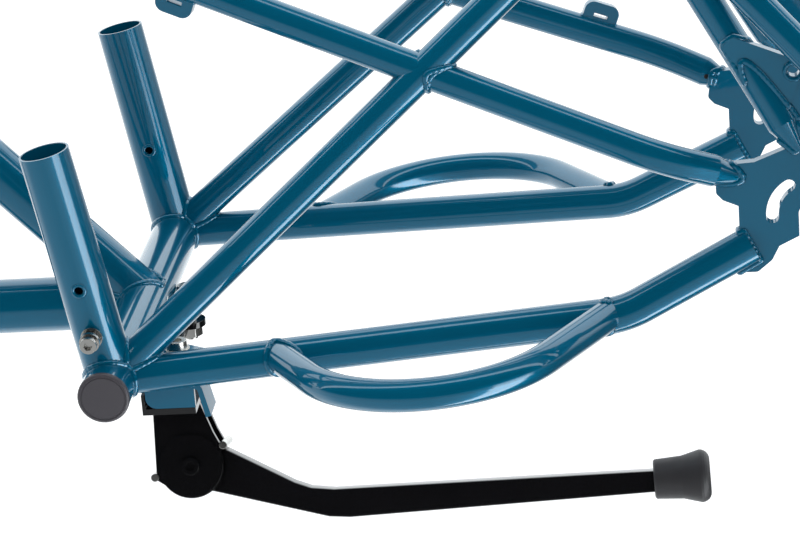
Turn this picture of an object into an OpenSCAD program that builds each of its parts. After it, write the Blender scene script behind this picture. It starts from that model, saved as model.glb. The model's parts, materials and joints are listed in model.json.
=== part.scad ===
// Long-tail cargo bicycle frameset with a folding side kickstand.
// Origin: centre of the bottom bracket shell. +X points rearward, +Y to the rider's right, +Z up.
// Tubes run between named nodes and are cut to the outside of the tube they land on.

/* [Frame layout] */
// Bottom bracket centre to the front cross tube of the tail
cross_x = 463; // [400:1:560]
// Cross tube to the rear axle, along X
axle_back = 416; // [380:1:460]
// Height of the rear axle over the bottom bracket
axle_z = 72; // [50:1:90]
// Seat tube angle from the horizontal
seat_angle = 73; // [68:0.5:76]
// Seat tube length above the bottom bracket centre
seat_len = 460; // [440:1:560]
// Distance up the seat tube at which the mid strut lands
strut_up = 390; // [340:1:400]
// Head tube angle from the horizontal
head_angle = 66.5; // [63:0.5:72]
// Bottom bracket centre to the lower end of the head tube, forward
reach_low = 472; // [420:1:600]
// Bottom bracket centre to the lower end of the head tube, upward
stack_low = 504; // [480:1:610]

/* [Main tubes] */
// Boom tube from the bottom bracket to the cross tube, outside diameter
boom_d = 34.9; // [30:0.1:42]
// Mid strut, outside diameter
strut_d = 31.8; // [26:0.1:34]
// Seat tube, outside diameter
seat_d = 31.8; // [31.8:0.1:38.2]
// Seat post bore
post_d = 27.2; // [25.4:0.1:27.4]
// Depth of the seat post bore
post_depth = 250; // [150:1:280]
// Down tube, outside diameter
down_d = 38.1; // [31.8:0.1:42]
// Top tube, outside diameter
top_d = 34.9; // [28.6:0.1:38]
// Wall of the main tubes
main_wall = 1.2; // [0.9:0.1:1.6]

/* [Tail tubes] */
// Cross tube and rear stubs, outside diameter
cross_d = 31; // [28:0.1:34]
// Half length of the cross tube with its end caps
cross_half = 167; // [158:1:200]
// Lower stays, outside diameter
lower_d = 22.2; // [19:0.1:25.4]
// Diagonals, outside diameter
diagonal_d = 20; // [19.5:0.1:24]
// Upper stays, uprights, rear braces and side loops, outside diameter
upper_d = 19; // [15.8:0.1:19.2]
// Wall of the tail tubes
tail_wall = 1.2; // [0.9:0.1:1.6]
// Centre radius of the side loop's bend
loop_r = 80; // [66:1:96]
// How far the side loop's centre line stands out from the middle plane
loop_reach = 209; // [195:1:230]

/* [Rack sockets] */
// Outside diameter
socket_d = 30; // [26:0.1:36]
// Wall
socket_wall = 1.3; // [1:0.1:2]
// Distance of each socket from the middle plane, at the cross tube
socket_y = 134; // [122:1:146]
// Length over the cross tube's centre line
socket_len = 146; // [120:1:176]
// Forward lean
socket_lean = 9.6; // [6:0.1:12]
// Diameter of the cross-drilled holes
pin_hole_d = 5; // [4:0.1:6.2]

/* [Dropouts] */
// Rear hub width between the plates
hub_w = 190; // [170:1:228]
// Plate thickness
plate_t = 7; // [5:0.1:8.4]
// Axle slot width
axle_slot_w = 10.2; // [9:0.1:12.4]

/* [Bottom bracket and headset] */
// Shell width
shell_w = 100; // [83:1:120]
// Shell outside diameter
shell_d = 42; // [41:0.1:50]
// Shell bore
shell_bore = 34.8; // [29:0.1:35.6]
// Head tube length
head_len = 130; // [110:1:160]
// Head tube outside diameter
head_d = 50; // [48:0.1:60]
// Bore for the headset cups
cup_d = 44; // [37:0.1:45]
// Steerer diameter
steerer_d = 28.6; // [25.4:0.1:31.8]

/* [Fork] */
// Crown race seat to axle, along the steering axis
fork_len = 483; // [420:1:520]
// Offset of the axle in front of the steering axis
fork_rake = 51; // [40:1:62]
// Front hub width
front_hub_w = 150; // [135:1:180]
// Blade outside diameter at the crown
blade_d = 28.6; // [24:0.1:32]
// Front axle bore
front_axle_d = 15; // [9:0.1:18]

/* [Kickstand] */
// Thickness of the leg
leg_t = 12; // [9:0.1:15]
// Thickness of each cheek
cheek_t = 4; // [3:0.1:5]
// Outward tilt of the pivot
stand_tilt = 15; // [8:1:20]
// Length of the leg from the pivot to the tip of the foot
leg_len = 314; // [262:1:376]
// Folding travel between the stop pins, in degrees
fold_travel = 105; // [90:1:110]
// Pivot bolt diameter
pivot_d = 10; // [8:0.1:12]

/* [Hidden] */
$fn = 64;

paint = "#00506e";
silver = "#c4c7ca";
black = "#17181a";
rubber = "#262629";
gap = 0.05;                        // running clearance, on the radius

// ---- nodes of the frame -------------------------------------------------
function unit(v) = v / norm(v);
function mid(p, q, k = 0.5) = p + (q - p) * k;
function on_seat(s) = [s * cos(seat_angle), 0, s * sin(seat_angle)];
function at_cross(v) = [cross_x, 0, 0] + v;
function at_axle(v) = [cross_x + axle_back, 0, axle_z] + v;

plate_y = hub_w / 2 + plate_t / 2;  // middle of the dropout plate
seat_stay_y = seat_d / 2 + 1.6;     // upper stays lap the sides of the seat tube
head_dir = [cos(head_angle), 0, sin(head_angle)];
head_low = [-reach_low, 0, stack_low];
head_high = head_low + head_len * head_dir;

// Left-hand nodes; the right-hand side is mirrored.
cross_node = at_cross([0, -socket_y, 0]);
lower_bend = at_cross([306, -106.5, 15.6]);
lower_end = at_axle([-33, 0, -18.6]) + [0, -plate_y, 0];
apex = at_cross([319.7, -75.5, 275.4]);
stay_node = mid(cross_node, apex, 0.615);
upper_front = on_seat(strut_up + 14) + [2, -seat_stay_y, 0];
upper_bend = at_cross([334, -114.5, 113.2]);
upper_tip = at_axle([-38, 0, 23.5]) + [0, -plate_y, 0];
tip_len = 18;                       // taper at the end of a tube that lands on a plate
upper_end = upper_tip - tip_len * unit(upper_tip - upper_bend);
upright_end = at_axle([-12.5, 0, 55]) + [0, -plate_y, 0];
rear_node = at_axle([66, 0, -48]) + [0, -socket_y, 0];
socket_dir = [-sin(socket_lean), -0.02, cos(socket_lean)];
brace_end = rear_node + 100 * socket_dir;

// ---- tubes --------------------------------------------------------------
module along(p, q) {
  v = q - p;
  translate(p) rotate([0, acos(v.z / norm(v)), atan2(v.y, v.x)]) children();
}

module rod(p, q, d) along(p, q) cylinder(h = norm(q - p), d = d);

module cone(p, q, d1, d2) along(p, q) cylinder(h = norm(q - p), d1 = d1, d2 = d2);

// Straight tube end that tapers to the thickness of the plate it lands on.
module tipped(len, d, tip) {
  cylinder(h = len, d = d);
  if (tip > 0) translate([0, 0, len]) cylinder(h = tip, d1 = d, d2 = plate_t);
}

// One leg of a bent rod or tube and its half of the bend, drawn about the bend's centre and cut
// off at the middle plane of the bend, which is y = 0. The leg runs on towards -y. A tube's
// bore stops short of the leg's end by stop, or runs out of it where stop is negative.
module half_bend(len, r, d, turn, tip, bore, stop) difference() {
  past = r + d;
  rotate([0, 0, -turn / 2]) {
    translate([r, 0, 0]) rotate([90, 0, 0]) tipped(len, d, tip);
    rotate_extrude(angle = turn / 2 + 4) translate([r, 0]) circle(d = d);
  }
  if (bore > 0) rotate([0, 0, -turn / 2]) {
    translate([r, 0, 0]) rotate([90, 0, 0]) cylinder(h = len - stop, d = bore);
    rotate_extrude(angle = turn / 2 + 5) translate([r, 0]) circle(d = bore);
  }
  translate([-past, 0, -past]) cube(2 * past);
}

// Rod through three points, its corner rounded at radius r: two mirrored halves. With a bore
// it is a tube, open at its first end and closed by end_wall at its second.
end_wall = 2.5;
module bent_rod(pts, r, d, tip = 0, bore = 0) {
  a = unit(pts[1] - pts[0]);
  b = unit(pts[2] - pts[1]);
  turn = acos(a * b);
  cut = r * tan(turn / 2);
  c = pts[1] - a * cut + r * unit(b - (a * b) * a);
  x = unit(pts[1] - c);
  y = unit(a + b);
  z = cross(x, y);
  multmatrix([[x.x, y.x, z.x, c.x], [x.y, y.y, z.y, c.y], [x.z, y.z, z.z, c.z], [0, 0, 0, 1]]) {
    half_bend(norm(pts[1] - pts[0]) - cut, r, d, turn, 0, bore, -1);
    mirror([0, 1, 0]) half_bend(norm(pts[2] - pts[1]) - cut, r, d, turn, tip, bore, end_wall);
  }
}

module pair(side) if (side < 0) children(); else mirror([0, 1, 0]) children();

// ---- solids that neighbours are cut to ----------------------------------
module cross_rod() rod(at_cross([0, -cross_half, 0]), at_cross([0, cross_half, 0]), cross_d);
module shell_rod() rod([0, -shell_w / 2, 0], [0, shell_w / 2, 0], shell_d);
module seat_rod() rod([0, 0, 0], on_seat(seat_len), seat_d);
module head_rod() rod(head_low, head_high, head_d);
module boom_rod() rod([0, 0, 0], at_cross([0, 0, 0]), boom_d);
module strut_rod() rod(on_seat(strut_up), at_cross([0, 0, 0]), strut_d);
module socket_rod() rod(cross_node, cross_node + socket_len * socket_dir, socket_d);
module rear_socket_rod() rod(rear_node, rear_node + socket_len * socket_dir, socket_d);
module stub_rod() rod([rear_node.x, -plate_y + stub_in, rear_node.z], [rear_node.x, -cross_half, rear_node.z], cross_d);
module diagonal_rod() rod(cross_node, apex + 12 * unit(apex - cross_node), diagonal_d);
module brace_rod() rod(apex, brace_end, upper_d);
lower_pts = [cross_node, lower_bend, lower_end];
lower_bend_r = 60;
module lower_rod() bent_rod(lower_pts, lower_bend_r, lower_d);
upper_pts = [stay_node, upper_bend, upper_end];
upper_bend_r = 90;
module upper_rear_rod() bent_rod(upper_pts, upper_bend_r, upper_d, tip_len);
module upright_rod() along(apex, upright_end) tipped(norm(upright_end - apex), upper_d, tip_len);
stub_in = plate_t / 2 + 3;          // how far a stub stands inside its plate

// ---- main frame -----------------------------------------------------------
module bottom_bracket_shell() color(paint) difference() {
  shell_rod();
  rod([0, -shell_w / 2 - 1, 0], [0, shell_w / 2 + 1, 0], shell_bore);
}

clamp_slot_w = 3;
clamp_slot_len = 32;
module seat_tube() color(paint) difference() {
  seat_rod();
  shell_rod();
  rod(on_seat(shell_bore / 2), on_seat(seat_len - post_depth - 6), seat_d - 2 * main_wall);
  rod(on_seat(seat_len - post_depth), on_seat(seat_len + 1), post_d);
  // expansion slot at the back, with its relief hole
  translate(on_seat(seat_len)) rotate([0, 90 - seat_angle, 0]) {
    translate([0, -clamp_slot_w / 2, -clamp_slot_len]) cube([seat_d, clamp_slot_w, clamp_slot_len + 1]);
    translate([0, 0, -clamp_slot_len]) rotate([0, 90, 0]) cylinder(h = seat_d, d = 6);
  }
}

down_head = head_low + 34 * head_dir;
module down_tube() color(paint) difference() {
  rod([0, 0, 0], down_head, down_d);
  rod([0, 0, 0], down_head, down_d - 2 * main_wall);
  shell_rod();
  seat_rod();
  head_rod();
}

top_head = head_high - 30 * head_dir;
module top_tube() color(paint) difference() {
  rod(on_seat(seat_len - 42), top_head, top_d);
  rod(on_seat(seat_len - 42), top_head, top_d - 2 * main_wall);
  seat_rod();
  head_rod();
  rod([0, 0, 0], down_head, down_d);
}

cup_depth = 14;
module head_tube() color(paint) difference() {
  head_rod();
  rod(head_low - head_dir, head_high + head_dir, cup_d - 2);
  rod(head_low - head_dir, head_low + cup_depth * head_dir, cup_d);
  rod(head_high - cup_depth * head_dir, head_high + head_dir, cup_d);
}

module boom_tube() color(paint) difference() {
  boom_rod();
  rod([0, 0, 0], at_cross([0, 0, 0]), boom_d - 2 * main_wall);
  shell_rod();
  seat_rod();
  cross_rod();
}

module mid_strut() color(paint) difference() {
  strut_rod();
  rod(on_seat(strut_up), at_cross([0, 0, 0]), strut_d - 2 * main_wall);
  seat_rod();
  boom_rod();
  cross_rod();
}

// ---- tail -------------------------------------------------------------------
cap_t = 3;
cap_plug = 12;
module cross_tube() color(paint) difference() {
  rod(at_cross([0, cap_t - cross_half, 0]), at_cross([0, cross_half - cap_t, 0]), cross_d);
  rod(at_cross([0, -cross_half, 0]), at_cross([0, cross_half, 0]), cross_d - 2 * tail_wall);
}

pin_up = [34, 63];                  // holes, along the socket's axis: outer wall only, then both
pin_axis = unit([0, socket_dir * socket_dir, 0] - socket_dir.y * socket_dir);
ream_up = cross_d / 2 + 5.5;        // the reamed bore stops above the cross tube
butt = 0.5;                         // and the wall below it is thicker by this
module at_pin(foot, s) along(foot + s * socket_dir, foot + s * socket_dir - pin_axis) rotate(90) children();
module socket_shape(foot) difference() {
  rod(foot, foot + socket_len * socket_dir, socket_d);
  rod(foot, foot + socket_len * socket_dir, socket_d - 2 * socket_wall - 2 * butt);
  rod(foot + ream_up * socket_dir, foot + (socket_len + 1) * socket_dir, socket_d - 2 * socket_wall);
  at_pin(foot, pin_up[1]) cylinder(h = 2 * socket_d, d = pin_hole_d, center = true);
  at_pin(foot, pin_up[0]) cylinder(h = socket_d, d = pin_hole_d);
}
module socket(side) color(paint) pair(side) difference() {
  socket_shape(cross_node);
  cross_rod();
}

module diagonal(side) color(paint) pair(side) difference() {
  diagonal_rod();
  rod(cross_node, apex, diagonal_d - 2 * tail_wall);
  socket_rod();
  cross_rod();
}

module lower_stay(side) color(paint) pair(side) difference() {
  bent_rod(lower_pts, lower_bend_r, lower_d, bore = lower_d - 2 * tail_wall);
  cross_rod();
  socket_rod();
  diagonal_rod();
}

// Side loop: out from the stay at loop_angle, round a bend, and back to the stay.
loop_angle = 60;
loop_mid_x = 193;
lower_run = lower_bend - cross_node;
loop_rise = atan(lower_run.z / lower_run.x);
loop_x = [for (s = [-1, 1]) loop_mid_x + s * loop_r * sin(loop_angle)];
loop_y = loop_reach - loop_r * (1 - cos(loop_angle));
stay_taper = (cross_node.y - lower_bend.y) / lower_run.x;
// length of the leg that starts at loop_x[i] and ends on the stay's centre line
function loop_leg(i) = (loop_y + cross_node.y - stay_taper * loop_x[i])
  / (sin(loop_angle) + (2 * i - 1) * stay_taper * cos(loop_angle));
module loop_rod(d, over) translate(at_cross([0, 0, 1.5])) rotate([0, -loop_rise, 0])
  translate([loop_mid_x / cos(loop_rise), loop_r - loop_reach, 0]) {
    rotate([0, 0, -90 - loop_angle]) rotate_extrude(angle = 2 * loop_angle) translate([loop_r, 0]) circle(d = d);
    for (s = [-1, 1]) rotate([0, 0, -90 + s * loop_angle]) translate([loop_r, 0, 0])
      rotate([-s * 90, 0, 0]) cylinder(h = loop_leg((s + 1) / 2) + over, d = d);
  }
module side_loop(side) color(paint) pair(side) difference() {
  loop_rod(upper_d, 0);
  loop_rod(upper_d - 2 * tail_wall, 1);
  rod(cross_node, lower_bend + lower_d * unit(lower_run), lower_d);
}

module upper_stay_front(side) color(paint) pair(side) difference() {
  rod(upper_front, stay_node, upper_d);
  rod(mid(upper_front, stay_node, 0.006), stay_node, upper_d - 2 * tail_wall);
  seat_rod();
  strut_rod();
  diagonal_rod();
}

module upper_stay_rear(side) color(paint) pair(side) difference() {
  bent_rod(upper_pts, upper_bend_r, upper_d, tip_len, upper_d - 2 * tail_wall);
  diagonal_rod();
}

module rear_upright(side) color(paint) pair(side) difference() {
  upright_rod();
  rod(apex, upright_end - end_wall * unit(upright_end - apex), upper_d - 2 * tail_wall);
  diagonal_rod();
  brace_rod();
}

module rear_brace(side) color(paint) pair(side) difference() {
  brace_rod();
  rod(apex, brace_end, upper_d - 2 * tail_wall);
  diagonal_rod();
  rear_socket_rod();
}

module rear_socket(side) color(paint) pair(side) difference() {
  socket_shape(rear_node);
  stub_rod();
}

module rear_stub(side) color(paint) pair(side) difference() {
  rod([rear_node.x, -plate_y + stub_in, rear_node.z], [rear_node.x, cap_t - cross_half, rear_node.z], cross_d);
  rod([rear_node.x, -plate_y + stub_in - end_wall, rear_node.z], [rear_node.x, -cross_half, rear_node.z],
    cross_d - 2 * tail_wall);
}

// Dropout plate, drawn in X and Z about the axle.
slot_r = 20.4;
slot_w = 7.4;
boss_hole = [-5.4, 87];
boss_hole_r = 3.3;
stub_at = [66, -48];
module ring_slot(r, w, a0, a1) {
  for (a = [a0, a1]) rotate(a) translate([r, 0]) circle(d = w - 0.1);
  difference() {
    circle(r = r + w / 2);
    circle(r = r - w / 2);
    far = 3 * r;
    polygon([[0, 0], far * [cos(a1), sin(a1)], far * [cos(a1 + 90), sin(a1 + 90)],
      far * [cos(a0 - 90), sin(a0 - 90)], far * [cos(a0), sin(a0)]]);
  }
}
module plate_outline() offset(r = 3, $fn = 24) offset(delta = -3) union() {
  polygon([[-53, 15], [-49, 10.5], [-40, 6.5], [-40, -8], [-43, -35], [-30, -35], [-21.5, -28],
    [-17, -19.5], [-5, -13.7], [8, -17], [20, -24], [40, -44], [66, -72], [89, -52], [82, -20],
    [60, 34], [52, 66], [38, 76], [-2, 93], [-40, 109], [-46, 104], [-22, 60], [-12, 40],
    [-30, 33], [-50, 32]]);
  translate(stub_at) circle(r = cross_d / 2 + 8);
}
module plate_window() offset(r = 6, $fn = 24) offset(delta = -6)
  polygon([[18, 52], [44, 40], [64, -16], [50, -22], [24, 6], [8, 30]]);
module dropout(side) color(paint) pair(side) difference() {
  translate(at_axle([0, -plate_y + plate_t / 2, 0])) rotate([90, 0, 0]) linear_extrude(plate_t)
    difference() {
      plate_outline();
      plate_window();
    }
  translate(at_axle([0, -plate_y + plate_t, 0])) rotate([90, 0, 0]) linear_extrude(2 * plate_t) {
    ring_slot(slot_r, slot_w, 120, 184);
    translate(boss_hole) circle(r = boss_hole_r);
    circle(d = axle_slot_w);
    translate([-axle_slot_w / 2, -40]) square([axle_slot_w, 40]);
  }
  // shallow step in the outer face
  translate(at_axle([0, -plate_y - plate_t / 2 + 1, 0])) rotate([90, 0, 0]) linear_extrude(2)
    offset(r = 5, $fn = 24) polygon([[-5, 62], [1, 76], [31, 57], [44, 40], [24, 46]]);
  lower_rod();
  upper_rear_rod();
  upright_rod();
  stub_rod();
}

bridge_k = 0.5;
module stay_bridge() color(paint) difference() {
  p = mid(upper_front, stay_node, bridge_k);
  rod(p, [p.x, -p.y, p.z], 16);
  rod(p, [p.x, -p.y, p.z], 16 - 2 * tail_wall);
  for (side = [-1, 1]) pair(side) rod(upper_front, stay_node, upper_d);
}

// Slotted hose guides: one under the left upper stay, one on top of the right one.
guide_len = 23;
guide_h = 11;
guide_t = 7;
guide_r = 6;
guide_sink = 3;
guide_slot = [1.5, 3.7, 9.2];       // from the tube, to, and length
module guide_outline() difference() {
  hull() {
    translate([-guide_sink, -guide_len / 2]) square([guide_sink, guide_len]);
    for (s = [-1, 1]) translate([guide_h - guide_r, s * (guide_len / 2 - guide_r)]) circle(r = guide_r);
  }
  translate([guide_slot[0], -guide_slot[2] / 2]) square([guide_slot[1] - guide_slot[0], guide_slot[2]]);
}
module guide(p, dir, up, y_side) {
  q = [p.x, y_side * abs(p.y), p.z];
  d = [dir.x, y_side * abs(dir.y), dir.z];
  difference() {
    along(q, q + d) rotate([0, 0, up > 0 ? 0 : 180]) translate([upper_d / 2, guide_t / 2, 0])
      rotate([90, 0, 0]) linear_extrude(guide_t) guide_outline();
    rod(q - 30 * d, q + 30 * d, upper_d);
  }
}
module hose_guides() color(paint) {
  guide(mid(upper_front, stay_node, 0.74), unit(stay_node - upper_front), 1, -1);
  guide(mid(stay_node, upper_bend, 0.69), unit(upper_bend - stay_node), -1, 1);
}

module cap_at(p, out) translate(p) rotate([-out * 90, 0, 0]) {
  translate([0, 0, -cap_t]) cylinder(h = cap_t, d = cross_d);
  translate([0, 0, -cap_t - cap_plug]) cylinder(h = cap_plug, d = cross_d - 2 * tail_wall);
}
module tube_caps() color(rubber) for (s = [-1, 1]) {
  cap_at(at_cross([0, s * cross_half, 0]), s);
  cap_at([rear_node.x, s * cross_half, rear_node.z], s);
}

// Rack bolt: in the lower hole of each socket, its end flush with the bore and its head outside.
// A shouldered nut sits on the wall, then a washer, the nut's hexagon and two more washers.
bolt_d = pin_hole_d;
bolt_head_d = 10;
bolt_head_h = 5;
bolt_hex = 5;
washer_t = 1.5;
washer_d = 13;
nut_h = 5;
nut_af = 10.5;
shoulder_h = 2;                     // keeps the nut clear of the curved wall
shoulder_d = 9;
shoulder_sink = 3;
nut_stack = [shoulder_h, washer_t, nut_h, 2 * washer_t];
function up_to(v, n) = n == 0 ? 0 : v[n - 1] + up_to(v, n - 1);
nut_out = socket_d / 2 + up_to(nut_stack, 4);
module rack_bolt(foot) at_pin(foot, pin_up[0]) {
  bore_r = socket_d / 2 - socket_wall;
  translate([0, 0, bore_r]) cylinder(h = nut_out - bore_r, d = bolt_d);
  translate([0, 0, nut_out]) difference() {
    cylinder(h = bolt_head_h, d = bolt_head_d);
    translate([0, 0, bolt_head_h - 3]) cylinder(h = 4, d = bolt_hex, $fn = 6);
  }
}
module rack_bolts() color(silver) for (side = [-1, 1]) pair(side) {
  rack_bolt(cross_node);
  rack_bolt(rear_node);
}
module rack_nut(foot) difference() {
  at_pin(foot, pin_up[0]) difference() {
    union() {
      translate([0, 0, socket_d / 2 - shoulder_sink]) cylinder(h = shoulder_sink + shoulder_h, d = shoulder_d);
      translate([0, 0, socket_d / 2 + up_to(nut_stack, 1)]) cylinder(h = washer_t, d = washer_d);
      translate([0, 0, socket_d / 2 + up_to(nut_stack, 2)]) cylinder(h = nut_h, d = nut_af, $fn = 6);
      translate([0, 0, socket_d / 2 + up_to(nut_stack, 3)]) cylinder(h = 2 * washer_t, d = washer_d - 1);
    }
    cylinder(h = 3 * socket_d, d = bolt_d, center = true);
  }
  rod(foot, foot + socket_len * socket_dir, socket_d);
}
module rack_bolt_nuts() color(silver) for (side = [-1, 1]) pair(side) {
  rack_nut(cross_node);
  rack_nut(rear_node);
}

// ---- seat clamp ---------------------------------------------------------------
clamp_h = 14;
clamp_wall = 3.6;
ear_l = 12;
module at_clamp() translate(on_seat(seat_len - clamp_h - 1)) rotate([0, 90 - seat_angle, 0]) children();
module seat_clamp() color(silver) at_clamp() difference() {
  union() {
    cylinder(h = clamp_h, d = seat_d + 2 * clamp_wall);
    translate([0, -7.5, 1]) cube([seat_d / 2 + clamp_wall + ear_l, 15, clamp_h - 2]);
  }
  translate([0, 0, -1]) cylinder(h = clamp_h + 2, d = seat_d);
  translate([0, -clamp_slot_w / 2, -1]) cube([seat_d * 2, clamp_slot_w, clamp_h + 2]);
  translate([seat_d / 2 + clamp_wall + 5, 0, clamp_h / 2]) rotate([90, 0, 0]) cylinder(h = 20, d = 5, center = true);
}
module seat_clamp_bolt() color(silver) at_clamp()
  translate([seat_d / 2 + clamp_wall + 5, 0, clamp_h / 2]) rotate([90, 0, 0]) {
    translate([0, 0, -7.5]) cylinder(h = 15, d = 5);
    translate([0, 0, 7.5]) difference() {
      cylinder(h = 5, d = 9);
      translate([0, 0, 2.5]) cylinder(h = 3, d = 4, $fn = 6);
    }
  }

// ---- headset --------------------------------------------------------------------
bearing_h = 7;
bearing_d = cup_d - 2.4;
bearing_id = steerer_d + 3.4;
cup_lip = 2.5;
module at_head_top() along(head_high, head_high + head_dir) children();
module at_head_low() along(head_low, head_low - head_dir) children();
module cup_shape() rotate_extrude() polygon([[bearing_d / 2 - 2, -bearing_h - 2], [cup_d / 2, -bearing_h - 2],
  [cup_d / 2, 0], [head_d / 2 - 0.5, 0], [head_d / 2 - 1, cup_lip], [bearing_d / 2, cup_lip],
  [bearing_d / 2, -bearing_h], [bearing_d / 2 - 2, -bearing_h]]);
module ring(od, id, z, h) translate([0, 0, z]) difference() {
  cylinder(h = h, d = od);
  translate([0, 0, -1]) cylinder(h = h + 2, d = id);
}
module upper_cup() color(black) at_head_top() cup_shape();
module lower_cup() color(black) at_head_low() cup_shape();
module upper_bearing() color(silver) at_head_top() ring(bearing_d, bearing_id, -bearing_h, bearing_h);
module lower_bearing() color(silver) at_head_low() ring(bearing_d, bearing_id, -bearing_h, bearing_h);
ring_lip = 1.4;
module compression_ring() color(silver) at_head_top() {
  ring(bearing_id - 2 * gap, steerer_d, -bearing_h + 1, bearing_h - 1 + gap);
  ring(bearing_id + 4, steerer_d, gap, ring_lip);
}
cover_z = cup_lip + 0.4;
module headset_cover() color(black) at_head_top() difference() {
  translate([0, 0, cover_z]) cylinder(h = 7, d1 = head_d - 2, d2 = steerer_d + 8);
  translate([0, 0, cover_z - 1]) cylinder(h = 9, d = steerer_d);
}
spacer_h = 10;
module steerer_spacers() color(black) at_head_top() for (i = [0, 1])
  ring(steerer_d + 5.6, steerer_d, cover_z + 7 + i * spacer_h, spacer_h);
race_z = cup_lip + 0.6;
module crown_race() color(silver) at_head_low() {
  ring(bearing_id - 2 * gap, steerer_d, -bearing_h + 1, bearing_h - 1 + gap);
  ring(bearing_id + 4, steerer_d, gap, race_z - gap);
}

// ---- fork ------------------------------------------------------------------------
steer_fwd = [-sin(head_angle), 0, cos(head_angle)];
crown_top = head_low - race_z * head_dir;
crown_d = 38;
crown_mid = crown_top - crown_d / 2 * head_dir;
steerer_top = head_high + (cover_z + 7 + 2 * spacer_h + 45) * head_dir;
steerer_wall = 2;
front_axle = crown_top - fork_len * head_dir + fork_rake * steer_fwd;
tip_t = 8;
tip_y = front_hub_w / 2 + tip_t / 2;
blade_end = front_axle + 34 * unit(crown_mid - front_axle);
side_off = [0, -tip_y, 0];
crown_wall = 3;
crown_half = [0, tip_y + blade_d / 2 + 2, 0];
module crown_rod() rod(crown_mid - crown_half, crown_mid + crown_half, crown_d);
module steerer_rod() rod(crown_mid, steerer_top, steerer_d);
module steerer() color(paint) difference() {
  steerer_rod();
  rod(crown_mid, steerer_top + head_dir, steerer_d - 2 * steerer_wall);
}
module fork_crown() color(paint) difference() {
  union() {
    crown_rod();
    rod(crown_mid, crown_top, bearing_id + 6);
  }
  rod(crown_mid - crown_half + [0, crown_wall, 0], crown_mid + crown_half - [0, crown_wall, 0],
    crown_d - 2 * crown_wall);
  rod(crown_mid, steerer_top, steerer_d);
}
module blade_rod() cone(crown_mid + side_off, blade_end + side_off, blade_d, blade_d * 0.72);
module fork_blade(side) color(paint) pair(side) difference() {
  blade_rod();
  cone(crown_mid + side_off, mid(crown_mid, blade_end, 0.99) + side_off,
    blade_d - 3, blade_d * 0.72 - 3);
  crown_rod();
}
module fork_dropouts() color(paint) for (side = [-1, 1]) pair(side) difference() {
  translate(front_axle + side_off) rotate([90, 0, 0]) translate([0, 0, -tip_t / 2])
    linear_extrude(tip_t) {
      circle(r = front_axle_d / 2 + 8);
      up = crown_mid - front_axle;
      rotate(atan2(up.z, up.x)) translate([0, -blade_d * 0.36]) square([44, blade_d * 0.72]);
    }
  blade_rod();
  translate(front_axle + side_off) rotate([90, 0, 0]) cylinder(h = 3 * tip_t, d = front_axle_d, center = true);
}

// ---- kickstand --------------------------------------------------------------------
// Frame plate under the left lower stay: a web, a rolled outer flange and a rear lip.
web_z = -7;
web_t = 5;
flange_z = -24;
stand_out = -127;                   // outer edge, along Y
stand_in = 40;                      // inner edge, along Y
stand_x0 = 17;
stand_x1 = 47;
neck_x = 22;                        // the plates narrow to this behind the lower stay
neck_y = [-72, -56];
lobe_r = 10;                        // and widen again round the inner bolt
lip_in = -105;                      // the rear lip runs from the outer edge to here
hook_t = 2;                         // upturned front edge of the mount, clear of the frame plate
// both plates, seen from above; they differ in their front and rear edges and inner end
module stand_outline(front, rear, inner) {
  polygon([[front, stand_out], [rear, stand_out], [rear, neck_y[0]], [neck_x, neck_y[1]],
    [neck_x, inner], [front, inner]]);
  translate(stand_bolt_at[1]) circle(r = lobe_r);
}
module kickstand_plate() color(paint) difference() {
  translate(at_cross([0, 0, 0])) {
    translate([0, 0, web_z - web_t]) linear_extrude(web_t) stand_outline(6, stand_x1, stand_in);
    // outer flange with a rounded front corner
    translate([0, stand_out + 4, 0]) rotate([90, 0, 0]) linear_extrude(4) hull() {
      translate([stand_x0 + 7, flange_z + 7]) circle(r = 7);
      translate([stand_x1 - 1, flange_z]) square([1, 1]);
      translate([stand_x0, web_z - web_t]) square([stand_x1 - stand_x0, 1]);
    }
    // rear lip
    translate([0, lip_in, 0]) rotate([90, 0, 0]) linear_extrude(lip_in - stand_out)
      polygon([[stand_x1, web_z], [stand_x1 + 3, web_z - 1.5], [stand_x1 + 5, web_z - 5],
        [stand_x1 + 9, -30], [stand_x1 + 5.5, -30.8], [stand_x1 + 2, web_z - 6], [stand_x1, web_z - web_t]]);
  }
  cross_rod();
  lower_rod();
  stand_bolt_holes();
}

// Two bolts clamp the stand's top plate to the frame plate.
stand_bolt_at = [[30, -74], [22, 26]];
stand_bolt_d = 8;
mount_t = 4;
module at_stand_bolts() for (b = stand_bolt_at) translate(at_cross([b.x, b.y, 0])) children();
module stand_bolt_holes() at_stand_bolts() translate([0, 0, -60]) cylinder(h = 60, d = stand_bolt_d);

pivot = at_cross([38.7, -106.6, -68.7]);
w_dir = [0, -sin(stand_tilt), -cos(stand_tilt)];
clear = 0.3;                        // side play of the leg between the washers
washer2_t = 1;
cheek_in = leg_t / 2 + washer2_t + clear / 2;
stack = cheek_in + cheek_t;
disc_r = 19.4;
disc_t = 1.5;
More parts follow.
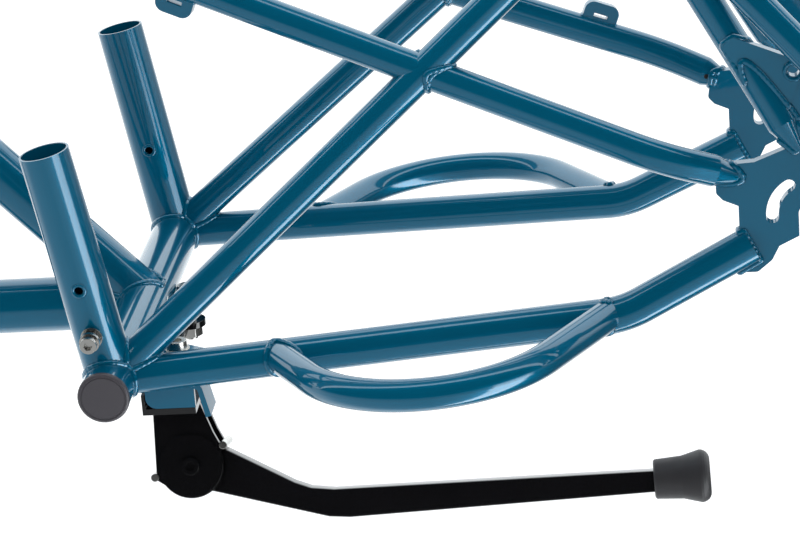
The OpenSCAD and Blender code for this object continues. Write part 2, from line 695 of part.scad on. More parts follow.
// Children are drawn flat, x rearward and y up, and extruded towards the outside.
module in_pivot() translate(pivot) rotate([90 - stand_tilt, 0, 0]) children();
module cheek_outline() {
  circle(r = 20.2);
  polygon([[-21.5, 60], [-21.5, -8.3], [-4.7, -19.6], [14, -14], [19.6, 10], [14.5, 20], [-1, 60]]);
}
module stand_mount() color(black) difference() {
  union() {
    in_pivot() {
      for (z = [cheek_in, -stack]) translate([0, 0, z]) linear_extrude(cheek_t) cheek_outline();
      translate([0, 0, stack]) cylinder(h = disc_t, r = disc_r);
      // web that joins the two cheeks along the front
      translate([0, 0, -cheek_in]) linear_extrude(2 * cheek_in)
        polygon([[-20.5, 60], [-20.5, 24], [-2, 26], [-2, 60]]);
    }
    translate(at_cross([0, 0, flange_z - mount_t])) linear_extrude(mount_t)
      stand_outline(0, stand_x1, stand_in - 2);
    translate(at_cross([stand_x0 - 0.5 - hook_t, stand_out, flange_z - mount_t]))
      cube([hook_t, stand_in - 2 - stand_out, 13]);
  }
  // trimmed flush under the frame plate
  translate(at_cross([stand_x0 - 0.5, stand_out - 50, flange_z])) cube([100, 400, 60]);
  translate(at_cross([-50, stand_out - 50, flange_z - mount_t])) cube([50 + stand_x0 - 0.5 - hook_t, 400, 60]);
  in_pivot() cylinder(h = 60, d = pivot_d, center = true);
  for (a = [stow_pin_a, open_pin_a]) in_pivot() rotate(a) translate([pin_r, 0, 0])
    cylinder(h = 60, d = stop_d, center = true);
  stand_bolt_holes();
}

module stand_bolts() color(silver) at_stand_bolts() {
  translate([0, 0, flange_z - mount_t - 9]) cylinder(h = web_z - flange_z + mount_t + 9 + 1.6, d = stand_bolt_d);
  translate([0, 0, web_z]) ring(15.6, stand_bolt_d, 0, 1.6);
  translate([0, 0, web_z + 1.6]) difference() {
    cylinder(h = 5, d1 = 13, d2 = 12.4);
    translate([0, 0, 2]) cylinder(h = 4, d = 7, $fn = 6);
  }
}
module stand_nuts() color(silver) at_stand_bolts() translate([0, 0, flange_z - mount_t - 7]) difference() {
  cylinder(h = 7, d = 15, $fn = 6);
  translate([0, 0, -1]) cylinder(h = 9, d = stand_bolt_d);
}

module stand_pivot_bolt() color(black) in_pivot() {
  translate([0, 0, -stack]) cylinder(h = 2 * stack + disc_t, d = pivot_d);
  translate([0, 0, stack + disc_t]) difference() {
    cylinder(h = 2.5, d1 = 12, d2 = 10.6);
    translate([0, 0, 0.8]) cylinder(h = 4, d = 6, $fn = 6);
  }
  translate([0, 0, -stack - 6]) cylinder(h = 6, d = 16, $fn = 6);
}

// Stops: the leg's upper edge rests on one pin, its lower edge swings round to the other.
pin_r = 23.5;
stop_d = 5;
stow_pin_a = 30;
neck_a = -51;                       // direction of the leg's lower edge at the pins
open_pin_a = neck_a - fold_travel - 7.5;
module stop_pins() color(silver) in_pivot() for (a = [stow_pin_a, open_pin_a]) rotate(a)
  translate([pin_r, 0, -stack - 1]) cylinder(h = 2 * stack + 2, d = stop_d);
module friction_washers() color(silver) in_pivot() for (s = [-1, 1])
  ring(26, pivot_d, s > 0 ? leg_t / 2 + clear / 2 : -cheek_in, washer2_t);

// Leg, drawn in the plane of the pivot: x along the folded leg, y up.
leg_root_r = 17.5;
foot_l = 34;
leg_end = leg_len - 10;
module leg_outline() polygon(concat(
  [for (a = [24:4:292]) leg_root_r * [cos(a), sin(a)]],
  [[13, -17.6], [82, -35.7], [95, -36.6], [leg_end, -27.5], [leg_end, -15], [86, -18.9],
    [72, -17.4], [62, -13.7], [20, 8.9]]));
module stand_leg() color(black) in_pivot() difference() {
  translate([0, 0, -leg_t / 2]) linear_extrude(leg_t) leg_outline();
  cylinder(h = 60, d = pivot_d + 2 * gap, center = true);
}
foot_y = -21.4;
module stand_foot() color(rubber) in_pivot() difference() {
  translate([leg_len - foot_l, foot_y, 0]) rotate([0, 90, 2]) rotate_extrude() polygon(concat(
    [[0, 0], [11, 0], [12, 1], [13, foot_l * 0.5]],
    [for (a = [0:15:90]) [10 + 6 * cos(a), foot_l - 6 + 6 * sin(a)]], [[0, foot_l]]));
  translate([0, 0, -leg_t / 2]) linear_extrude(leg_t) leg_outline();
}

// ---- output ---------------------------------------------------------------------------
bottom_bracket_shell();
seat_tube();
down_tube();
top_tube();
head_tube();
boom_tube();
mid_strut();
cross_tube();
socket(-1);  // socket_left
socket(1);  // socket_right
diagonal(-1);  // diagonal_left
diagonal(1);  // diagonal_right
lower_stay(-1);  // lower_stay_left
lower_stay(1);  // lower_stay_right
side_loop(-1);  // side_loop_left
side_loop(1);  // side_loop_right
upper_stay_front(-1);  // upper_stay_front_left
upper_stay_front(1);  // upper_stay_front_right
upper_stay_rear(-1);  // upper_stay_rear_left
upper_stay_rear(1);  // upper_stay_rear_right
rear_upright(-1);  // rear_upright_left
rear_upright(1);  // rear_upright_right
rear_brace(-1);  // rear_brace_left
rear_brace(1);  // rear_brace_right
rear_socket(-1);  // rear_socket_left
rear_socket(1);  // rear_socket_right
rear_stub(-1);  // rear_stub_left
rear_stub(1);  // rear_stub_right
dropout(-1);  // dropout_left
dropout(1);  // dropout_right
stay_bridge();
hose_guides();
tube_caps();
rack_bolts();
rack_bolt_nuts();
seat_clamp();
seat_clamp_bolt();
upper_cup();
lower_cup();
upper_bearing();
lower_bearing();
compression_ring();
headset_cover();
steerer_spacers();
crown_race();
steerer();
fork_crown();
fork_blade(-1);  // fork_blade_left
fork_blade(1);  // fork_blade_right
fork_dropouts();
kickstand_plate();
stand_mount();
stand_bolts();
stand_nuts();
stand_pivot_bolt();
stop_pins();
friction_washers();
stand_leg();
stand_foot();
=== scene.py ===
"""Looks of a long-tail cargo bicycle frameset: studio, finishes, weld beads and small fittings."""

import json
import random
from math import cos, pi, radians, sin

import bmesh
import bpy
from mathutils import Matrix, Vector
from mathutils.bvhtree import BVHTree


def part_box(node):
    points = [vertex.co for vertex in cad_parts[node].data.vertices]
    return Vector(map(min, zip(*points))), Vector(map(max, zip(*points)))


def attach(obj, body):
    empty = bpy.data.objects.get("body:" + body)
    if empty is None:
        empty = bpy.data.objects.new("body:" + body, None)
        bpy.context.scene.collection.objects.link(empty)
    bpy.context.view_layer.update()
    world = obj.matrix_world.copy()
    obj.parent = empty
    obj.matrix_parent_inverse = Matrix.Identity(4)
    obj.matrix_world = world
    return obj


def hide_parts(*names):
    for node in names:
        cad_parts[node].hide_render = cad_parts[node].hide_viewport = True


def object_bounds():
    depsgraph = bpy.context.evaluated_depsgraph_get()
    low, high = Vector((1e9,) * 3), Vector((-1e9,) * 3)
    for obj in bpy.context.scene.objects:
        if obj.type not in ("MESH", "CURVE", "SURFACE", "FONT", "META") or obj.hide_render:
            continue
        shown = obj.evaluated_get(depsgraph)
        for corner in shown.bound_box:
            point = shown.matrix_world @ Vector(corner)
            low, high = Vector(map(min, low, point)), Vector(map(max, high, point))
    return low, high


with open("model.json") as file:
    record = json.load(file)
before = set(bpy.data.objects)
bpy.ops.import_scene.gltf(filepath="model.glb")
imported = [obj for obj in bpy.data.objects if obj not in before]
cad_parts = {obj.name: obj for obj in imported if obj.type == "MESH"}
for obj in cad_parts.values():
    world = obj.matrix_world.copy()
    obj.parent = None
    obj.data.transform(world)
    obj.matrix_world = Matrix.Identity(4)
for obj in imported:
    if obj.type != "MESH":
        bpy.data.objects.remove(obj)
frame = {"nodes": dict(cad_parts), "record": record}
cad_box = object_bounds()

MM = 0.001

# ---- Camera ----------------------------------------------------------------
# A long lens above the left side, turned a little towards the tail, as in a
# catalogue close-up of the frame's rear half.

camera_place = Vector((0.80656, -1.77243, 0.64434))
camera_turn = 0.101
camera_down = 0.33983
camera_roll = -0.08041

camera_data = bpy.data.cameras.new("camera")
camera_data.lens = 134.48
camera_data.sensor_width = 36
camera = bpy.data.objects.new("camera", camera_data)
camera.matrix_world = (
    Matrix.Translation(camera_place)
    @ Matrix.Rotation(camera_turn, 4, "Z")
    @ Matrix.Rotation(pi / 2 - camera_down, 4, "X")
    @ Matrix.Rotation(camera_roll, 4, "Z")
)
bpy.context.scene.collection.objects.link(camera)
bpy.context.scene.camera = camera

# ---- Studio ----------------------------------------------------------------
# A white table in front of a white backdrop. Gloss paint shows the room as crisp
# bands: the table below, a tube lamp overhead, the backdrop behind, a panel left.

bpy.context.scene.view_settings.view_transform = "Standard"


def shader_tree(owner):
    """Empties the node tree of a world or material and returns it with its output."""
    owner.use_nodes = True
    tree = owner.node_tree
    tree.nodes.clear()
    kind = "ShaderNodeOutputWorld" if isinstance(owner, bpy.types.World) else "ShaderNodeOutputMaterial"
    return tree, tree.nodes.new(kind)


def add_node(tree, kind, **settings):
    """A new shader node of a kind, with its settings."""
    node = tree.nodes.new("ShaderNode" + kind)
    for name, value in settings.items():
        setattr(node, name, value)
    return node


def bands(tree, value, stops):
    """Brightness that follows stops of (degrees, grey) round a circle, as value runs from -pi to pi."""
    part = add_node(tree, "MapRange")
    part.inputs["From Min"].default_value = -pi
    part.inputs["From Max"].default_value = pi
    tree.links.new(value, part.inputs["Value"])
    ramp = add_node(tree, "ValToRGB")
    tree.links.new(part.outputs["Result"], ramp.inputs["Fac"])
    points = ramp.color_ramp.elements
    while len(points) < len(stops):
        points.new(0.5)
    for point, (degrees, grey) in zip(points, stops):
        point.position = (degrees + 180) / 360
        point.color = (grey * 0.94, grey * 0.98, grey, 1)
    return ramp.outputs["Color"]


world = bpy.data.worlds.new("studio_room")
bpy.context.scene.world = world
tree, output = shader_tree(world)
path = add_node(tree, "LightPath")
place = add_node(tree, "TexCoord")
split = add_node(tree, "SeparateXYZ")
tree.links.new(place.outputs["Generated"], split.inputs["Vector"])
forward = add_node(tree, "Math", operation="MULTIPLY")
tree.links.new(split.outputs["Y"], forward.inputs[0])
forward.inputs[1].default_value = -1
rise = add_node(tree, "Math", operation="ARCTAN2")
tree.links.new(split.outputs["Z"], rise.inputs[0])
tree.links.new(forward.outputs[0], rise.inputs[1])
turn = add_node(tree, "Math", operation="ARCTAN2")
tree.links.new(split.outputs["X"], turn.inputs[0])
tree.links.new(forward.outputs[0], turn.inputs[1])
room_gain = 10.0
above = bands(tree, rise.outputs[0], ((-180, 0.15), (0, 0.002), (80, 0.002), (83, 0.3), (92, 0.3),
                                      (95, 0.015), (115, 0.015), (120, 0.22), (179, 0.15)))
below = bands(tree, turn.outputs[0], ((-150, 0.15), (-100, 0.12), (-80, 0.075), (0, 0.055), (44, 0.08),
                                      (49, 0.7), (76, 0.7), (82, 0.005), (140, 0.005), (170, 0.15)))
side_mix = add_node(tree, "Mix", data_type="RGBA")
low_part = add_node(tree, "MapRange")
low_part.inputs["From Min"].default_value = 0.03
low_part.inputs["From Max"].default_value = -0.2
tree.links.new(split.outputs["Z"], low_part.inputs["Value"])
tree.links.new(low_part.outputs["Result"], side_mix.inputs["Factor"])
tree.links.new(above, side_mix.inputs["A"])
tree.links.new(below, side_mix.inputs["B"])
soft = add_node(tree, "Background")
soft.inputs["Color"].default_value = (1, 1, 1, 1)
soft.inputs["Strength"].default_value = 0.62
seen = add_node(tree, "Background")
seen.inputs["Color"].default_value = (1, 1, 1, 1)
seen.inputs["Strength"].default_value = 1
shiny = add_node(tree, "Background")
shiny.inputs["Strength"].default_value = room_gain
tree.links.new(side_mix.outputs["Result"], shiny.inputs["Color"])
by_gloss = add_node(tree, "MixShader")
tree.links.new(path.outputs["Is Glossy Ray"], by_gloss.inputs["Fac"])
tree.links.new(soft.outputs[0], by_gloss.inputs[1])
tree.links.new(shiny.outputs[0], by_gloss.inputs[2])
clear_view = add_node(tree, "Math", operation="MAXIMUM")
tree.links.new(path.outputs["Is Camera Ray"], clear_view.inputs[0])
tree.links.new(path.outputs["Is Transmission Ray"], clear_view.inputs[1])
by_camera = add_node(tree, "MixShader")
tree.links.new(clear_view.outputs[0], by_camera.inputs["Fac"])
tree.links.new(by_gloss.outputs[0], by_camera.inputs[1])
tree.links.new(seen.outputs[0], by_camera.inputs[2])
tree.links.new(by_camera.outputs[0], output.inputs["Surface"])


def soft_box(name, place, target, width, length, power):
    """A rectangular lamp at place that faces target; gloss doesn't show it."""
    data = bpy.data.lights.new(name, "AREA")
    data.shape = "RECTANGLE"
    data.size = length
    data.size_y = width
    data.energy = power
    lamp = bpy.data.objects.new(name, data)
    aim = (Vector(target) - Vector(place)).to_track_quat("-Z", "Y").to_matrix().to_4x4()
    lamp.matrix_world = Matrix.Translation(place) @ aim
    lamp.visible_glossy = False
    bpy.context.scene.collection.objects.link(lamp)


stand_at = (0.75, 0, 0.1)
soft_box("overhead_box", (0.75, -0.1, 2.0), stand_at, width=1.2, length=2.6, power=16)
soft_box("front_box", (0.3, -1.9, 1.6), stand_at, width=0.8, length=1.6, power=9)

table_side = 9
table_middle = (0.6, 1.0)
table_drop = 0.06
table_z = cad_box[0].z - table_drop
bpy.ops.object.select_all(action="DESELECT")
bpy.ops.mesh.primitive_plane_add(size=table_side, location=(*table_middle, table_z))
table = bpy.context.object
table.name = "white_table"
table.visible_glossy = False
table_white = bpy.data.materials.new("white_table")
tree, output = shader_tree(table_white)
surface = add_node(tree, "BsdfPrincipled")
surface.inputs["Base Color"].default_value = (0.97, 0.97, 0.97, 1)
surface.inputs["Roughness"].default_value = 0.9
surface.inputs["Specular IOR Level"].default_value = 0.1
surface.inputs["Emission Color"].default_value = (1, 1, 1, 1)
surface.inputs["Emission Strength"].default_value = 0.42
tree.links.new(surface.outputs[0], output.inputs["Surface"])
table.data.materials.append(table_white)

# ---- Enamel on the frame -----------------------------------------------------
# Every steel tube is welded into the frame and then sprayed as one, so one petrol
# blue enamel covers them all: clear lacquer with a faint orange peel over metallic.


def finish_group(name, inputs, outputs):
    """A shader node group with these named sockets, and its two end nodes."""
    group = bpy.data.node_groups.new(name, "ShaderNodeTree")
    for socket, kind, value in inputs:
        made = group.interface.new_socket(socket, in_out="INPUT", socket_type=kind)
        if value is not None:
            made.default_value = value
    for socket, kind in outputs:
        group.interface.new_socket(socket, in_out="OUTPUT", socket_type=kind)
    return group, group.nodes.new("NodeGroupInput"), group.nodes.new("NodeGroupOutput")


def noise(tree, vector, scale, detail):
    """Cloudy values about 0.5; scale is a number or another node's output."""
    node = add_node(tree, "TexNoise")
    node.inputs["Detail"].default_value = detail
    if isinstance(scale, (int, float)):
        node.inputs["Scale"].default_value = scale
    else:
        tree.links.new(scale, node.inputs["Scale"])
    tree.links.new(vector, node.inputs["Vector"])
    return node.outputs["Fac"]


def mapped(tree, value, low, high):
    """Spreads a noise value, which seldom leaves 0.3 to 0.7, between low and high."""
    node = add_node(tree, "MapRange")
    node.inputs["From Min"].default_value = 0.3
    node.inputs["From Max"].default_value = 0.7
    tree.links.new(value, node.inputs["Value"])
    for socket, end in (("To Min", low), ("To Max", high)):
        if isinstance(end, (int, float)):
            node.inputs[socket].default_value = end
        else:
            tree.links.new(end, node.inputs[socket])
    return node.outputs["Result"]


coat, coat_in, coat_out = finish_group(
    "sprayed_coat",
    [
        ("Vector", "NodeSocketVector", None),
        ("Colour", "NodeSocketColor", None),
        ("Thin Colour", "NodeSocketColor", None),
        ("Roughness Low", "NodeSocketFloat", 0.05),
        ("Roughness High", "NodeSocketFloat", 0.1),
        ("Peel", "NodeSocketFloat", 0.05),
        ("Peel Scale", "NodeSocketFloat", 600),
    ],
    [("Colour", "NodeSocketColor"), ("Roughness", "NodeSocketFloat"), ("Normal", "NodeSocketVector")],
)
peel_depth = 0.2 * MM
where = coat_in.outputs["Vector"]
cloud = noise(coat, where, scale=14, detail=3)
tint = add_node(coat, "Mix", data_type="RGBA")
coat.links.new(mapped(coat, cloud, 0.0, 1.0), tint.inputs["Factor"])
coat.links.new(coat_in.outputs["Colour"], tint.inputs["A"])
coat.links.new(coat_in.outputs["Thin Colour"], tint.inputs["B"])
coat.links.new(tint.outputs["Result"], coat_out.inputs["Colour"])
haze = noise(coat, where, scale=45, detail=4)
gloss = mapped(coat, haze, coat_in.outputs["Roughness Low"], coat_in.outputs["Roughness High"])
coat.links.new(gloss, coat_out.inputs["Roughness"])
peel = noise(coat, where, scale=coat_in.outputs["Peel Scale"], detail=1)
bump = add_node(coat, "Bump")
bump.inputs["Distance"].default_value = peel_depth
coat.links.new(coat_in.outputs["Peel"], bump.inputs["Strength"])
coat.links.new(peel, bump.inputs["Height"])
coat.links.new(bump.outputs["Normal"], coat_out.inputs["Normal"])


lacquer_roughness = 0.03
lacquer_ior = 1.55


def sprayed(name, colour, thin, rough, peel, peel_scale, metallic=0.0, lacquer=0.0):
    """A material whose colour, gloss and surface come from the sprayed_coat group."""
    material = bpy.data.materials.new(name)
    tree, output = shader_tree(material)
    shader = add_node(tree, "BsdfPrincipled")
    shader.inputs["IOR"].default_value = 1.5
    shader.inputs["Metallic"].default_value = metallic
    shader.inputs["Coat Weight"].default_value = lacquer
    shader.inputs["Specular IOR Level"].default_value = 0.5 * (1 - lacquer)
    shader.inputs["Coat Roughness"].default_value = lacquer_roughness
    shader.inputs["Coat IOR"].default_value = lacquer_ior
    place = add_node(tree, "TexCoord")
    finish = add_node(tree, "Group")
    finish.node_tree = coat
    finish.inputs["Colour"].default_value = (*colour, 1)
    finish.inputs["Thin Colour"].default_value = (*thin, 1)
    finish.inputs["Roughness Low"].default_value = rough[0]
    finish.inputs["Roughness High"].default_value = rough[1]
    finish.inputs["Peel"].default_value = peel
    finish.inputs["Peel Scale"].default_value = peel_scale
    tree.links.new(place.outputs["Object"], finish.inputs["Vector"])
    tree.links.new(finish.outputs["Colour"], shader.inputs["Base Color"])
    tree.links.new(finish.outputs["Roughness"], shader.inputs["Roughness"])
    tree.links.new(finish.outputs["Normal"], shader.inputs["Normal"])
    tree.links.new(finish.outputs["Normal"], shader.inputs["Coat Normal"])
    tree.links.new(shader.outputs[0], output.inputs["Surface"])
    return material


petrol = sprayed("petrol_enamel", (0.0, 0.111, 0.206), (0.0, 0.118, 0.219), (0.34, 0.42), 0.035, 420,
                 metallic=0.42, lacquer=1.0)


def wear(material, *names):
    """Gives CAD nodes a material in place of their packed one."""
    for name in names:
        mesh = frame["nodes"][name].data
        mesh.materials.clear()
        mesh.materials.append(material)


sides = ("left", "right")
frame_tubes = ["bottom_bracket_shell", "seat_tube", "down_tube", "top_tube", "head_tube", "boom_tube",
               "mid_strut", "cross_tube", "stay_bridge", "hose_guides", "kickstand_plate"]
paired = ["socket", "diagonal", "lower_stay", "side_loop", "upper_stay_front", "upper_stay_rear",
          "rear_upright", "rear_brace", "rear_socket", "rear_stub", "dropout"]
frame_tubes += [f"{name}_{side}" for name in paired for side in sides]
fork_tubes = ["fork_crown", "fork_blade_left", "fork_blade_right", "fork_dropouts"]
wear(petrol, *frame_tubes, *fork_tubes)

# ---- Bright steel -------------------------------------------------------------
# Zinc plated fasteners, and the bare steerer, bearings and washers: a bright metal
# with a fine grain and a slight bloom.

bright = sprayed("bright_steel", (0.62, 0.61, 0.58), (0.5, 0.49, 0.47), (0.16, 0.34), 0.12, 900,
                 metallic=1.0)
wear(bright, "steerer", "upper_bearing", "lower_bearing", "friction_washers")

# ---- Black anodised fittings ---------------------------------------------------
# Turned aluminium headset parts, spacers and the seat clamp, bead blasted and
# anodised black.

anodised = sprayed("black_anodised", (0.016, 0.016, 0.018), (0.022, 0.022, 0.024), (0.28, 0.42), 0.12, 1500)
wear(anodised, "seat_clamp_bolt", "upper_cup", "lower_cup", "compression_ring", "crown_race")

# ---- Black paint on the kickstand -----------------------------------------------
# The folded bracket, the forged leg and the pivot bolt are dipped together in one
# thick gloss black coat.

stand_black = sprayed("stand_black", (0.0035, 0.0035, 0.004), (0.005, 0.005, 0.006), (0.05, 0.1),
                      0.012, 300)

# ---- Rubber foot and plastic plugs ------------------------------------------------
# A moulded rubber foot is pushed on the leg's end, and hard plastic plugs close the
# open ends of the cross tube and the rear stubs.

rubber = sprayed("foot_rubber", (0.02, 0.02, 0.023), (0.036, 0.036, 0.04), (0.45, 0.65), 0.35, 500)
wear(rubber, "stand_foot")
plug = sprayed("plug_plastic", (0.05, 0.047, 0.057), (0.058, 0.055, 0.066), (0.4, 0.5), 0.15, 1200)

# ---- Softened edges on the stamped and forged parts ------------------------------
# Plates, the stand and the fasteners have worked edges: each piece is the packed
# solid with its seams merged and its sharp edges rounded, and stands for it.

same_spot = 0.002 * MM
flat_angle = radians(0.6)
sharp = radians(28)
shade_over = radians(32)


def shown_as(piece, node, body, material):
    """Dresses a piece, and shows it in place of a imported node."""
    piece.data.materials.clear()
    piece.data.materials.append(material)
    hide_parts(node)
    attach(piece, body)


def only(piece):
    """Makes a piece the one that is selected and active."""
    bpy.ops.object.select_all(action="DESELECT")
    piece.select_set(True)
    bpy.context.view_layer.objects.active = piece


def rounded_copy(node, name, width):
    """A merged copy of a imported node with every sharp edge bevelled."""
    piece = bpy.data.objects.new(name, frame["nodes"][node].data.copy())
    bpy.context.scene.collection.objects.link(piece)
    only(piece)
    if piece.data.has_custom_normals:
        bpy.ops.mesh.customdata_custom_splitnormals_clear()
    bpy.ops.object.mode_set(mode="EDIT")
    bpy.ops.mesh.select_all(action="SELECT")
    bpy.ops.mesh.remove_doubles(threshold=same_spot)
    bpy.ops.mesh.dissolve_limited(angle_limit=flat_angle)
    bpy.ops.mesh.normals_make_consistent(inside=False)
    bpy.ops.object.mode_set(mode="OBJECT")
    edge = piece.modifiers.new("edge", "BEVEL")
    edge.width = width * MM
    edge.segments = 2
    edge.limit_method = "ANGLE"
    edge.angle_limit = sharp
    edge.use_clamp_overlap = True
    bpy.ops.object.modifier_apply(modifier="edge")
    bpy.ops.object.shade_smooth_by_angle(angle=shade_over)
    even = piece.modifiers.new("even", "WEIGHTED_NORMAL")
    even.keep_sharp = True
    even.weight = 100
    bpy.ops.object.modifier_apply(modifier="even")
    return piece


for node, name, width, body, slot_name, material in (
    ("stand_mount", "stand_bracket", 0.9, "frame", "black_paint", stand_black),
    ("stand_leg", "stand_arm", 1.7, "stand", "black_paint", stand_black),
    ("stand_pivot_bolt", "pivot_screw", 0.5, "frame", "black_paint", stand_black),
    ("kickstand_plate", "stand_shelf", 0.9, "frame", "blue_paint", petrol),
    ("stand_bolts", "stand_screws", 0.6, "frame", "bright_steel", bright),
    ("stand_nuts", "stand_hex_nuts", 0.5, "frame", "bright_steel", bright),
    ("stop_pins", "stop_studs", 0.5, "frame", "bright_steel", bright),
    ("rack_bolts", "rack_screws", 0.5, "frame", "bright_steel", bright),
    ("rack_bolt_nuts", "rack_nut_stacks", 0.3, "frame", "bright_steel", bright),
    ("dropout_left", "left_axle_plate", 0.7, "frame", "blue_paint", petrol),
    ("dropout_right", "right_axle_plate", 0.7, "frame", "blue_paint", petrol),
    ("fork_dropouts", "fork_tip_plates", 0.7, "fork", "blue_paint", petrol),
    ("hose_guides", "hose_clips", 0.5, "frame", "blue_paint", petrol),
    ("seat_clamp", "seat_collar", 0.6, "frame", "bright_steel", anodised),
    ("headset_cover", "headset_cap", 0.5, "fork", "black_alloy", anodised),
    ("steerer_spacers", "spacer_rings", 0.5, "fork", "black_alloy", anodised),
):
    shown_as(rounded_copy(node, name, width), node, body, material)

# ---- Weld beads -------------------------------------------------------------------
# Each tube end is welded all round to what it lands on, and the paint covers the
# bead. It is a row of small overlapping ripples, a little uneven as laid by hand.

random.seed(7)
bead_step = 0.8 * MM
fewest_steps = 8
bead_r = 2.2
ripple_len = 3.4 * MM
ripple_depth = 0.1
hand_wobble = 0.03
touch = 0.16 * MM
facing = -0.4


def surface_tree(mesh):
    """A mesh's surface, to measure distances to."""
    return BVHTree.FromPolygons([v.co for v in mesh.vertices], [p.vertices for p in mesh.polygons])


def near_boxes(a, b):
    """Whether two nodes' boxes come within a millimetre of each other."""
    (la, ha), (lb, hb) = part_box(a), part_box(b)
    return all(la[i] < hb[i] + MM and lb[i] < ha[i] + MM for i in range(3))


def chains(edges):
    """Joins edges, given as vertex pairs, into runs of vertices that meet end to end."""
    links = {}
    for a, b in edges:
        links.setdefault(a, []).append(b)
        links.setdefault(b, []).append(a)
    left = {tuple(sorted(pair)) for pair in edges}
    while left:
        start = min(left)
        run = [start[0], start[1]]
        left.discard(start)
        for end in (0, 1):
            while True:
                tip = run[-1]
                ahead = [n for n in links[tip] if tuple(sorted((tip, n))) in left]
                if not ahead:
                    break
                left.discard(tuple(sorted((tip, ahead[0]))))
                run.append(ahead[0])
            if run[0] == run[-1]:
                break
            run.reverse()
        yield run


def outer_seams(node, others, trees):
    """Outer outlines of the faces of a node that lie against its neighbours."""
    work = bmesh.new()
    work.from_mesh(frame["nodes"][node].data)
    bmesh.ops.remove_doubles(work, verts=work.verts, dist=same_spot)
    work.verts.ensure_lookup_table()
    work.verts.index_update()
    on = [{o for o in others if trees[o].find_nearest(v.co, touch)[0]} for v in work.verts]
    joined = set()
    for face in work.faces:
        shared = set.intersection(*(on[v.index] for v in face.verts))
        for other in shared:
            spot, normal, _, _ = trees[other].find_nearest(face.calc_center_median(), 2.5 * touch)
            if spot and normal.dot(face.normal) < facing:
                joined.add(face)
                break
    rims = {}
    for edge in work.edges:
        faces = edge.link_faces
        if len(faces) == 2 and (faces[0] in joined) != (faces[1] in joined):
            free = faces[1] if faces[0] in joined else faces[0]
            rims[tuple(sorted(v.index for v in edge.verts))] = free
    seams = []
    for run in chains(list(rims)):
        points = [work.verts[i].co.copy() for i in run]
        middle = sum(points, Vector()) / len(points)
        outward = 0.0
        for a, b in zip(run, run[1:]):
            edge_mid = (work.verts[a].co + work.verts[b].co) / 2
            length = (work.verts[a].co - work.verts[b].co).length
            outward += rims[tuple(sorted((a, b)))].normal.dot((edge_mid - middle).normalized()) * length
        if outward > 0:
            seams.append(points)
    work.free()
    return seams


def resampled(points, step):
    """Points at an even step along a run, with the distance of each from its start."""
    spots, gone, due = [], 0.0, 0.0
    for a, b in zip(points, points[1:]):
        length = (b - a).length
        while due <= gone + length and length > 0:
            spots.append((a.lerp(b, (due - gone) / length), due))
            due += step
        gone += length
    return spots


def laid_bead(name, seams, radius):
    """One mesh of rippled beads along the seams."""
    curve = bpy.data.curves.new(name, "CURVE")
    curve.dimensions = "3D"
    curve.bevel_depth = 1.0
    curve.bevel_resolution = 2
    curve.use_fill_caps = True
    for points in seams:
        spots = resampled(points, bead_step)
        if len(spots) < fewest_steps:
            continue
        ring = (points[0] - points[-1]).length < 0.01 * MM
        phase = random.uniform(0, pi)
        spline = curve.splines.new("POLY")
        spline.use_cyclic_u = ring
        spline.points.add(len(spots) - 1)
        for point, (spot, along) in zip(spline.points, spots):
            point.co = (*spot, 1)
            ripple = abs(sin(pi * along / ripple_len + phase))
            wobble = random.uniform(-hand_wobble, hand_wobble)
            point.radius = radius * (1 - ripple_depth + ripple_depth * ripple + wobble)
    piece = bpy.data.objects.new(name, curve)
    bpy.context.scene.collection.objects.link(piece)
    only(piece)
    bpy.ops.object.convert(target="MESH")
    piece = bpy.context.object
    bpy.ops.object.shade_smooth()
    return piece


thin_beads = {"hose_guides": 0.9, "kickstand_plate": 1.9, "stay_bridge": 2.0}
for body, welded in (("frame", frame_tubes), ("fork", fork_tubes + ["steerer"])):
    trees = {node: surface_tree(frame["nodes"][node].data) for node in welded}
    for node in welded:
        others = [other for other in welded if other != node and near_boxes(node, other)]
        seams = outer_seams(node, others, trees)
        if not seams:
            continue
        bead = laid_bead(f"weld_{node}", seams, thin_beads.get(node, bead_r) * MM)
        if not bead.data.polygons:
            bpy.data.objects.remove(bead)
            continue
        bead.data.materials.append(petrol)
        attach(bead, body)

# ---- Rims round the holes -----------------------------------------------------------
# A thin raised rim runs round every cross hole of the rack sockets, and round the
# outer side of the hole at the top of each axle plate.

ring_steps = 48
pin_gap = 29 * MM
socket_r = 15 * MM
pin_rim_r = 3.6 * MM
pin_rim_thick = 1.05 * MM
plate_half = 3.5 * MM
plate_rim_r = 5.2 * MM
plate_rim_thick = 1.3 * MM


def ring_on_tube(centre, hole_axis, tube_axis, tube_r, ring_r):
    """Points of a ring about hole_axis that follows the outside of a tube."""
    across = hole_axis.cross(tube_axis).normalized()
    points = []
    for step in range(ring_steps + 1):
        angle = 2 * pi * step / ring_steps
        side, up = ring_r * cos(angle), ring_r * sin(angle)
        depth = (tube_r * tube_r - side * side) ** 0.5
        points.append(centre + across * side + tube_axis * up + hole_axis * depth)
    return points


def ring_on_plate(centre, ring_r):
    """Points of a ring in an upright plate that faces sideways."""
    points = []
    for step in range(ring_steps + 1):
        angle = 2 * pi * step / ring_steps
        points.append(centre + Vector((ring_r * cos(angle), 0, ring_r * sin(angle))))
    return points


def painted_rims(name, rings, thick):
    """One piece with a bead along each ring, under the frame's paint."""
    piece = laid_bead(name, rings, thick)
    piece.data.materials.append(petrol)
    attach(piece, "frame")


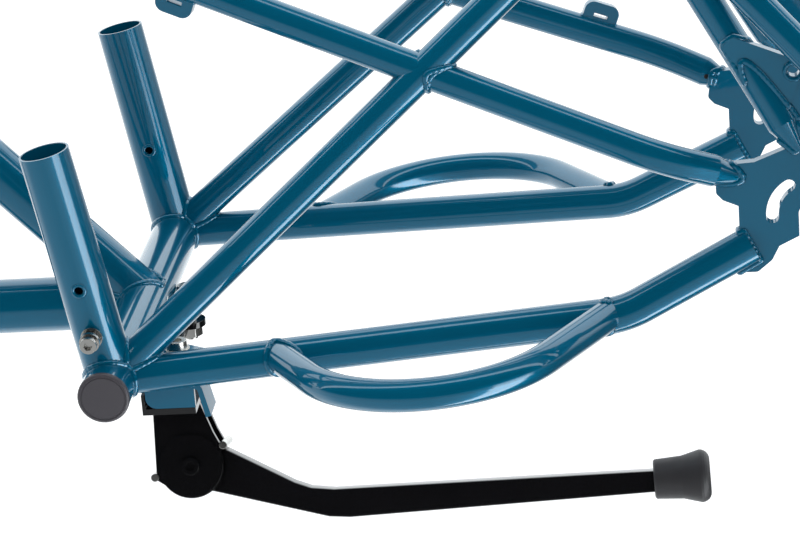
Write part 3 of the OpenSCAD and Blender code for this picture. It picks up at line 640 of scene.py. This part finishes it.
mounts = {mount["name"]: mount for mount in frame["record"]["mounts"]}
pin_rims = []
for name, mount in mounts.items():
    if "pin_hole" not in name:
        continue
    socket = mounts[name.replace("pin_hole", "socket")]
    along = Vector(socket["axis"]).normalized()
    outward = Vector(mount["axis"]).normalized()
    centre = Vector(mount["pos_m"])
    for spot, ways in ((centre, (outward, -outward)), (centre - along * pin_gap, (outward,))):
        for way in ways:
            pin_rims.append(ring_on_tube(spot, way, along, socket_r, pin_rim_r))
painted_rims("hole_rims", pin_rims, pin_rim_thick)

plate_rims = []
for name, mount in mounts.items():
    if name.startswith("dropout_upper_hole"):
        way = Vector(mount["axis"]).normalized()
        plate_rims.append(ring_on_plate(Vector(mount["pos_m"]) + way * plate_half, plate_rim_r))
painted_rims("plate_hole_rims", plate_rims, plate_rim_thick)

# ---- Vent holes: painted shade ------------------------------------------------------
# Hot air leaves a closed tube through a small drilled vent while it is welded. Each vent is
# drawn as a thin near-black disc on the inner side of each rear upper stay and upright, near
# the axle plate: painted shade that stands for the dark inside of the hole.

vent_r = 1.6 * MM
vent_depth = 0.4 * MM
vent_sink = 0.1 * MM
smooth_under = radians(35)
# A near-black finish for the vent discs: painted shade for the dark inside of each hole.
vent_painted_shade = sprayed("vent_painted_shade", (0.001, 0.001, 0.001), (0.002, 0.002, 0.002), (0.6, 0.7), 0.01, 300)


def joined(parts, name):
    """Joins pieces into one with this name, and leaves it active."""
    only(parts[0])
    for part in parts[1:]:
        part.select_set(True)
    bpy.ops.object.join()
    parts[0].name = name
    return parts[0]


shade_disc_parts = []
for side, sign in (("left", -1), ("right", 1)):
    hole = Vector(mounts[f"dropout_upper_hole_{side}"]["pos_m"])
    for tube, ahead, below in (("upper_stay_rear", 48, 58), ("rear_upright", 10, 26)):
        start = Vector((hole.x - ahead * MM, 0, hole.z - below * MM))
        tree = surface_tree(frame["nodes"][f"{tube}_{side}"].data)
        spot, normal, _, _ = tree.ray_cast(start, Vector((0, sign, 0)))
        if not spot:
            continue
        bpy.ops.mesh.primitive_cylinder_add(vertices=24, radius=vent_r, depth=vent_depth,
                                            rotation=normal.to_track_quat("Z", "Y").to_euler(),
                                            location=spot - normal * vent_sink)
        shade_disc_parts.append(bpy.context.object)
shade_discs = joined(shade_disc_parts, "vent_hole_shade")
bpy.ops.object.transform_apply(location=True, rotation=True, scale=True)
bpy.ops.object.shade_smooth_by_angle(angle=smooth_under)
shade_discs.data.materials.append(vent_painted_shade)
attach(shade_discs, "frame")

# ---- End plugs ----------------------------------------------------------------------
# Moulded plugs close the cross tube and the rear stubs. Each has a flat face inside a
# fine groove and a rounded edge.

turn_steps = 64
turn_merge = 0.001 * MM
plug_r = 15.5
plug_profile = [(0, 0), (12.6, 0), (12.9, -0.45), (13.4, -0.45), (13.7, 0), (14.5, -0.15), (15.2, -0.7),
                (plug_r, -1.5), (plug_r, -3), (13.6, -3), (13.6, -12), (0, -12)]


def turned(name, profile):
    """A lathed piece about Z from (radius, height) points in millimetres."""
    mesh = bpy.data.meshes.new(name)
    points = [(r * MM, 0, z * MM) for r, z in profile]
    mesh.from_pydata(points, [(i, i + 1) for i in range(len(points) - 1)], [])
    piece = bpy.data.objects.new(name, mesh)
    bpy.context.scene.collection.objects.link(piece)
    only(piece)
    spin = piece.modifiers.new("spin", "SCREW")
    spin.axis = "Z"
    spin.steps = turn_steps
    spin.render_steps = turn_steps
    spin.use_merge_vertices = True
    spin.merge_threshold = turn_merge
    bpy.ops.object.modifier_apply(modifier="spin")
    bpy.ops.object.mode_set(mode="EDIT")
    bpy.ops.mesh.select_all(action="SELECT")
    bpy.ops.mesh.remove_doubles(threshold=turn_merge)
    bpy.ops.mesh.normals_make_consistent(inside=False)
    bpy.ops.object.mode_set(mode="OBJECT")
    bpy.ops.object.shade_smooth_by_angle(angle=smooth_under)
    return piece


low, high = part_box("tube_caps")
plugs = []
for x, z in ((low.x + plug_r * MM, low.z + plug_r * MM), (high.x - plug_r * MM, high.z - plug_r * MM)):
    for y, angle in ((low.y, pi / 2), (high.y, -pi / 2)):
        part = turned("end_plug", plug_profile)
        part.data.transform(Matrix.Translation((x, y, z)) @ Matrix.Rotation(angle, 4, "X"))
        plugs.append(part)
shown_as(joined(plugs, "end_plugs"), "tube_caps", "frame", plug)
